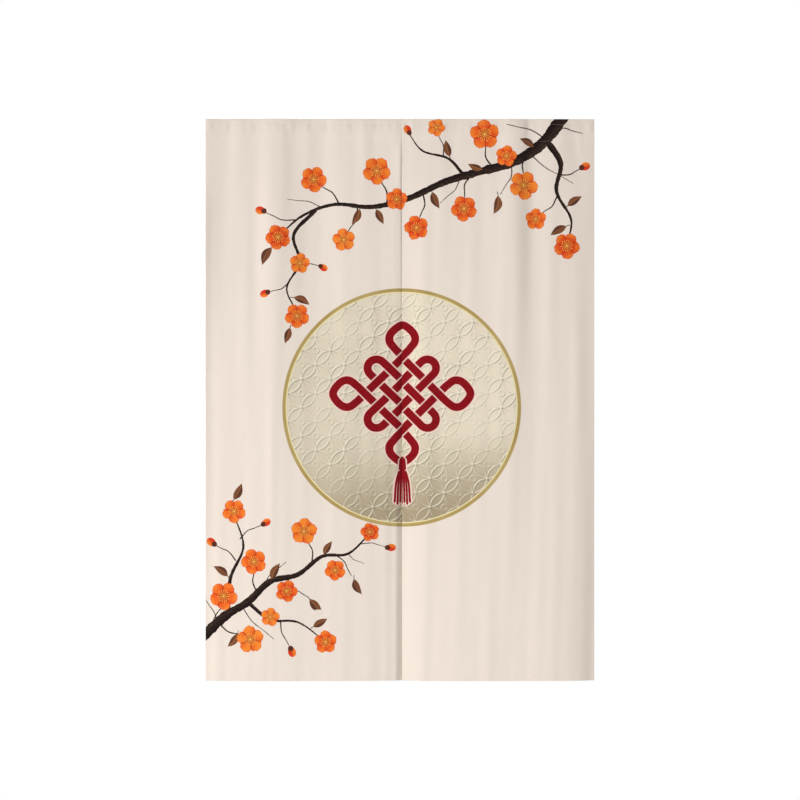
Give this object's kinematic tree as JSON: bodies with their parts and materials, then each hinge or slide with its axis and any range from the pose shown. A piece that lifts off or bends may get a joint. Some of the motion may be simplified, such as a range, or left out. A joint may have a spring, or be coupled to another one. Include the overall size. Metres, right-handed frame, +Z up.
{
  "type": "door curtain",
  "caption": "Doorway curtain of printed cloth, parted down the middle, with a rod pocket along the top of each side.",
  "frame": {"origin": "middle of the top edge, where the two headings part", "axes": "+X to the right across the doorway, +Y to the back of the cloth, +Z up"},
  "size_m": [0.9002, 0.0356, 1.3001],
  "materials": {
    "cloth": "matt plain weave, printed"
  },
  "bodies": {
    "root": {"heading_left": "cloth", "heading_right": "cloth", "panel_left": "cloth", "panel_right": "cloth"}
  },
  "joints": []
}
